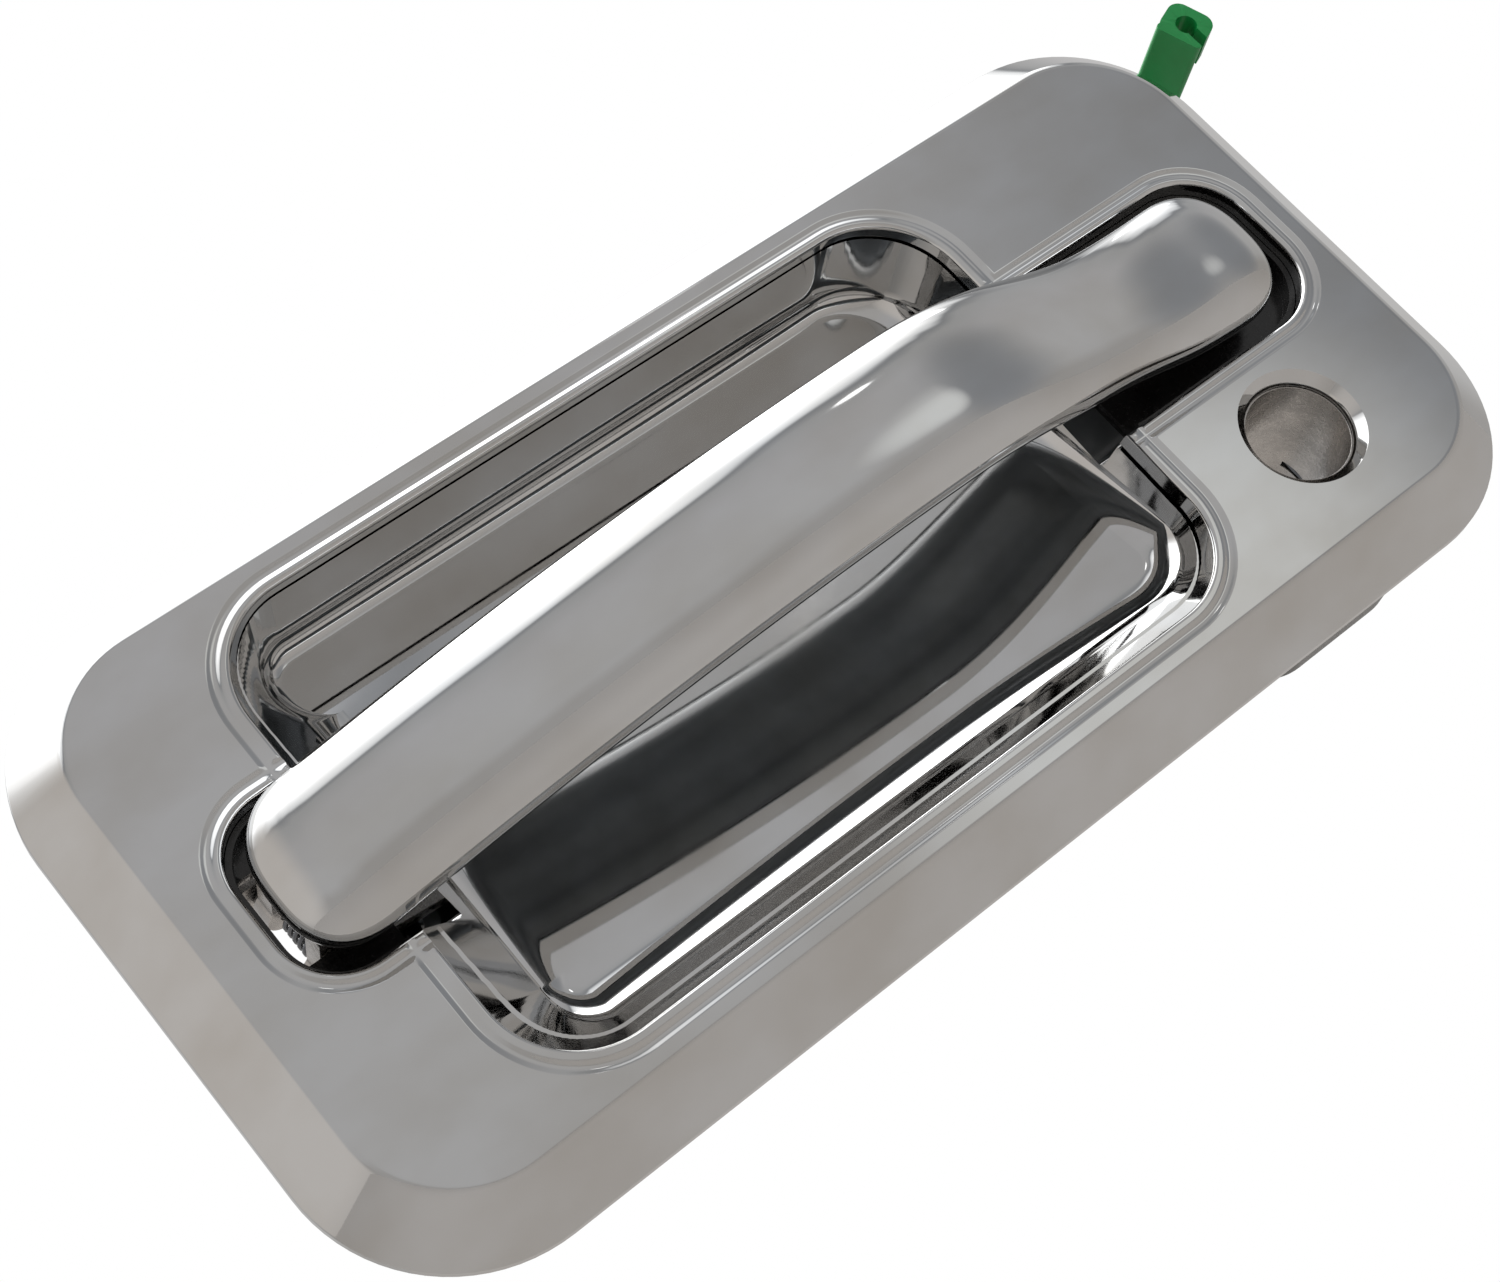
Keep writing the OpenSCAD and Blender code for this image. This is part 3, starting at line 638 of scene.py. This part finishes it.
class DOORHANDLE_OT_grip(bpy.types.Operator):
    """Builds the pull grip: its plated outer half and the cover behind it, lightened to grey as painted
    sheen
    """

    bl_idname = "doorhandle.grip"
    bl_label = "Build Grip"

    def execute(self, context):
        s = context.scene.door_handle_grip
        x0, x1 = 1000 * GRIP[0].x, 1000 * GRIP[1].x
        up, drop, wall = s.crown / MM, s.drop / MM, s.wall / MM

        def cover(bm):
            rings = []
            for x in crowd(x0, x1, 130):
                t = tip_share(x, x0 - 0.02, x1 + 0.02, 13)
                rings.append(cover_ring(x, half_width(x, s) * t, up * t, drop * t, s))
            skin(bm, rings)

        def cavity(bm):
            rings = []
            for x in crowd(x0 + wall, x1 - wall, 60):
                t = tip_share(x, x0 + wall - 0.05, x1 - wall + 0.05, 11)
                w = (half_width(x, s) - wall) * t
                rings.append(cover_ring(x, w, (up - wall) * t, drop + 1, s, 24))
            skin(bm, rings)

        shell = combine(solid("grip_cover", cover), solid("grip_cavity", cavity), "DIFFERENCE")
        polish(shell, 40)
        put_on(shell, "handle", "chrome_plate", finish_of("chrome_plate"), "handle_shell")

        def liner(bm):
            rings = []
            for x in crowd(1000 * LINER[0].x, 1000 * LINER[1].x, 90):
                w, z = 0.94 * half_width(x, s), FACE_Z + bow_line(x, s)
                ring = [row(x, GRIP_Y + w * k, z - drop - 0.05) for k in (0.97, 0.5, 0, -0.5, -0.97)]
                for i in range(33):
                    py, pz = round_point(w, s.liner_depth / MM, math.pi * (1 + i / 32), 2.8)
                    ring.append(row(x, GRIP_Y + py, z + min(pz, -drop - 0.35)))
                rings.append(ring)
            skin(bm, rings)

        back = polish(solid("grip_liner", liner), 40)
        # Nylon from a polished mould, lightened to grey as painted sheen: the grey stands in for the light
        # a glossy black cover shows where the recess mirrors it as a soft dark band
        nylon = moulded("nylon_painted_sheen", "#74787b", "#66696c", (0.12, 0.22), 0.5, 0.01)
        put_on(back, "handle", "black_plastic", nylon, "handle_liner")
        return {"FINISHED"}


# ---- carried-over nodes ----------------------------------------------------------------------


class DOORHANDLE_OT_hardware(bpy.types.Operator):
    """Gives the frame's own nodes their finishes, with softened edges"""

    bl_idname = "doorhandle.hardware"
    bl_label = "Finish Hardware"

    def execute(self, context):
        s = context.scene.door_handle_finish
        slots = {p["node"]: p["material_slot"] for p in frame["record"]["subparts"]}
        for node, obj in frame["nodes"].items():
            if obj.hide_render:
                continue
            obj.data.materials.clear()
            obj.data.materials.append(finish_of(slots[node]))
            weld = obj.modifiers.new("weld", "WELD")
            weld.merge_threshold = 2e-6
            soften = obj.modifiers.new("soften", "BEVEL")
            soften.width = s.soft_edge
            soften.segments = 2
            soften.limit_method = "ANGLE"
            soften.angle_limit = math.radians(40)
            soften.harden_normals = False
            weigh = obj.modifiers.new("weighted normals", "WEIGHTED_NORMAL")
            weigh.weight = 60
        return {"FINISHED"}


# ---- stage -----------------------------------------------------------------------------------


def softbox(name, place, aim, size, power):
    """A rectangular studio light at place, turned towards aim."""
    data = bpy.data.lights.new(name, "AREA")
    data.shape = "RECTANGLE"
    data.size, data.size_y = size
    data.energy = power
    obj = bpy.data.objects.new(name, data)
    obj.location = place
    obj.rotation_euler = (Vector(aim) - Vector(place)).to_track_quat("-Z", "Y").to_euler()
    obj.visible_camera = False
    bpy.context.scene.collection.objects.link(obj)


# The room's strength, its tones by height, and its cards as (direction, degrees to their edge,
# degrees to nothing, colour)
ROOM_POWER = 2.4
LEVELS = [(0.0, "#7c7a77"), (0.48, "#7d7b79"), (0.54, "#868584"), (0.62, "#888786"), (0.72, "#868585"),
          (0.79, "#7f7f7f"), (0.815, "#6a6b6d"), (0.83, "#b4b5b6"), (0.88, "#efefef"), (1.0, "#ffffff")]
CARDS = [
    ((-0.94, -0.13, 0.32), 18, 40, "#97938f"),
    ((0.76, -0.63, 0.17), 2, 26, "#68696b"),
    ((0.50, -0.86, 0.17), 2, 9, "#a4a4a2"),
    ((0.42, -0.73, 0.55), 1.2, 1.6, "#ffffff"),
]


def toward(tree, way, direction, near_deg, far_deg):
    """1 in the given direction, falling softly to 0 between near_deg and far_deg away from it."""
    aim = Vector(direction).normalized()
    dot = add(tree, "ShaderNodeVectorMath", {0: way, 1: aim}, operation="DOT_PRODUCT").outputs["Value"]
    near, far = math.cos(math.radians(near_deg)), math.cos(math.radians(far_deg))
    soft = add(tree, "ShaderNodeMapRange", {
        "Value": dot, "From Min": far, "From Max": near, "To Min": 0.0, "To Max": 1.0,
    }, interpolation_type="SMOOTHSTEP")
    return soft.outputs["Result"]


def sky(scene):
    """White to the eye, and to the plating a soft studio: a bright ceiling, grey walls and a few cards."""
    world = bpy.data.worlds.new("studio")
    scene.world = world
    world.use_nodes = True
    tree = world.node_tree
    tree.nodes.clear()
    way = add(tree, "ShaderNodeTexCoord").outputs["Generated"]
    drift = add(tree, "ShaderNodeTexNoise", {
        "Vector": way, "Scale": 2.2, "Detail": 2.0, "Roughness": 0.5,
    })
    height = add(tree, "ShaderNodeSeparateXYZ", {"Vector": way}).outputs["Z"]
    wobble = between(tree, drift.outputs["Fac"], -0.05, 0.05, 0.3, 0.7)
    level = add(tree, "ShaderNodeMath", {0: height, 1: wobble}, operation="ADD").outputs["Value"]
    ramp = add(tree, "ShaderNodeValToRGB", {"Fac": between(tree, level, 0.0, 1.0, -1.0, 1.0)})
    ends = ramp.color_ramp.elements
    ends[0].color, ends[1].color = linear(LEVELS[0][1]), linear(LEVELS[-1][1])
    ends[1].position = LEVELS[-1][0]
    for at, colour in LEVELS[1:-1]:
        ends.new(at).color = linear(colour)
    room = ramp.outputs["Color"]
    for direction, near, far, colour in CARDS:
        room = mix_colour(tree, toward(tree, way, direction, near, far), room, colour)
    scaled = add(tree, "ShaderNodeVectorMath", {0: room, "Scale": ROOM_POWER}, operation="SCALE")
    seen = add(tree, "ShaderNodeLightPath").outputs["Is Camera Ray"]
    colour = mix_colour(tree, seen, scaled.outputs["Vector"], "#ffffff")
    background = add(tree, "ShaderNodeBackground", {"Color": colour, "Strength": 1.0})
    add(tree, "ShaderNodeOutputWorld", {"Surface": background.outputs["Background"]})


CAMERA_AT = (-0.17740, -0.37815, -0.12453)
CAMERA_RIGHT = Vector((0.7578, -0.1212, -0.6410))
CAMERA_UP = Vector((0.5297, -0.4592, 0.7131))
LENS_MM = 60.69
SENSOR_MM = 36.0


class DOORHANDLE_OT_stage(bpy.types.Operator):
    """Sets the floor, the soft light, the room and the camera"""

    bl_idname = "doorhandle.stage"
    bl_label = "Set Stage"

    def execute(self, context):
        scene = context.scene
        s = scene.door_handle_stage
        bm = bmesh.new()
        bmesh.ops.create_circle(bm, cap_ends=True, segments=96, radius=3.0,
                                matrix=Matrix.Translation((0, 0, -s.floor_drop)))
        floor = finish_mesh(bm, "floor")
        mat, tree = fresh_material("pale_floor")
        coords = add(tree, "ShaderNodeTexCoord").outputs["Object"]
        paper = between(tree, noise(tree, coords, 3, 3.0).outputs["Fac"], 0.0, 1.0)
        seen = add(tree, "ShaderNodeLightPath").outputs["Is Camera Ray"]
        pale = mix_colour(tree, paper, "#efeeec", "#f3f2f0")
        surface(tree, {"Base Color": mix_colour(tree, seen, "#9d9995", pale), "Roughness": 0.9})
        floor.data.materials.append(mat)
        sky(scene)
        softbox("top light", (0.1, 0.1, 0.9), (0, 0, 0), (1.3, 0.9), s.key)
        camera = bpy.data.cameras.new("camera")
        camera.lens = LENS_MM
        camera.sensor_width = SENSOR_MM
        eye = bpy.data.objects.new("camera", camera)
        backward = CAMERA_RIGHT.cross(CAMERA_UP)
        turn = Matrix((CAMERA_RIGHT, CAMERA_UP, backward)).transposed().to_4x4()
        eye.matrix_world = Matrix.Translation(CAMERA_AT) @ turn
        scene.collection.objects.link(eye)
        scene.camera = eye
        scene.view_settings.view_transform = "Standard"
        return {"FINISHED"}


# ---- settings and panel ----------------------------------------------------------------------


def length(name, description, default, low=0.0):
    """A length setting in metres."""
    return bpy.props.FloatProperty(
        name=name, description=description, default=default, min=low, max=1.0,
        unit="LENGTH", subtype="DISTANCE")


class DoorHandleBezel(bpy.types.PropertyGroup):
    corner_r: length("Corner radius", "Corner radius of the base", 0.030)
    lip_h: length("Lip", "Height of the straight lip at the base", 0.002)
    shoulder_r: length("Shoulder radius", "Round between lip and flank", 0.0007)
    flank: length("Flank", "Height and width of the sloped flank", 0.0095)
    edge_r: length("Edge radius", "Round between flank and face", 0.0024)
    wall: length("Wall", "Moulded wall thickness", 0.0026)
    recess_x0: length("Recess front", "Front end of the recess", -0.092, -1.0)
    recess_x1: length("Recess rear", "Rear end of the recess", 0.061)
    recess_hw: length("Recess half height", "Half height of the recess", 0.0475)
    recess_r: length("Recess corner radius", "Corner radius of the recess", 0.017)
    rim_r: length("Recess rim", "Radius of the recess's rolled edge", 0.0011)
    depth_top: length("Upper depth", "Depth of the recess under its upper wall", 0.0215)
    depth_low: length("Lower depth", "Depth of the recess at the foot of its ramp", 0.0095)
    pocket_depth: length("Pocket depth", "Depth of the two handle pockets", 0.0085)
    pocket_rim_r: length("Pocket rim", "Radius of the pockets' rolled edge", 0.0010)


class DoorHandleGrip(bpy.types.PropertyGroup):
    half_width: length("Half width", "Half height of the grip's section", 0.0147)
    crown: length("Crown", "Thickness of the outer half", 0.00655)
    drop: length("Drop", "How far the outer half reaches below the middle line", 0.0024)
    wall: length("Wall", "Wall thickness of the outer half", 0.0023)
    liner_depth: length("Cover depth", "Thickness of the cover behind the grip", 0.006)
    bow: length("Bow", "Height of the grip's bow above the face", 0.021)


class DoorHandleFinish(bpy.types.PropertyGroup):
    chrome_hex: bpy.props.StringProperty(
        name="Chrome", description="Plating colour, sRGB hex", default="#c8c9ca")
    chrome_haze_hex: bpy.props.StringProperty(
        name="Chrome haze", description="Plating colour where it is handled, sRGB hex", default="#bebdbb")
    chrome_rough: bpy.props.FloatProperty(
        name="Chrome roughness", description="Roughness of clean plating", default=0.03, min=0, max=1)
    clip_hex: bpy.props.StringProperty(
        name="Clip green", description="Rod clip colour, sRGB hex", default="#138d46")
    soft_edge: length("Soft edge", "Rounding of moulded and turned edges", 0.00015)


class DoorHandleStage(bpy.types.PropertyGroup):
    floor_drop: length("Floor drop", "Distance of the floor below the handle", 0.42)
    key: bpy.props.FloatProperty(
        name="Top light", description="Power of the top light", default=8, unit="POWER")


STEPS = ["bezel", "gasket", "grip", "hardware", "stage"]


class DOORHANDLE_PT_panel(bpy.types.Panel):
    bl_label = "Door Handle"
    bl_space_type = "VIEW_3D"
    bl_region_type = "UI"
    bl_category = "Door Handle"

    def draw(self, context):
        for step in STEPS:
            self.layout.operator("doorhandle." + step)


GROUPS = {
    "door_handle_bezel": DoorHandleBezel,
    "door_handle_grip": DoorHandleGrip,
    "door_handle_finish": DoorHandleFinish,
    "door_handle_stage": DoorHandleStage,
}
CLASSES = [
    *GROUPS.values(),
    DOORHANDLE_OT_bezel,
    DOORHANDLE_OT_gasket,
    DOORHANDLE_OT_grip,
    DOORHANDLE_OT_hardware,
    DOORHANDLE_OT_stage,
    DOORHANDLE_PT_panel,
]


def register():
    for cls in CLASSES:
        bpy.utils.register_class(cls)
    for name, group in GROUPS.items():
        setattr(bpy.types.Scene, name, bpy.props.PointerProperty(type=group))


def unregister():
    for name in GROUPS:
        delattr(bpy.types.Scene, name)
    for cls in reversed(CLASSES):
        bpy.utils.unregister_class(cls)


def main():
    register()
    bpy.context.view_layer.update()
    for step in STEPS:
        getattr(bpy.ops.doorhandle, step)()


if __name__ == "__main__":
    main()
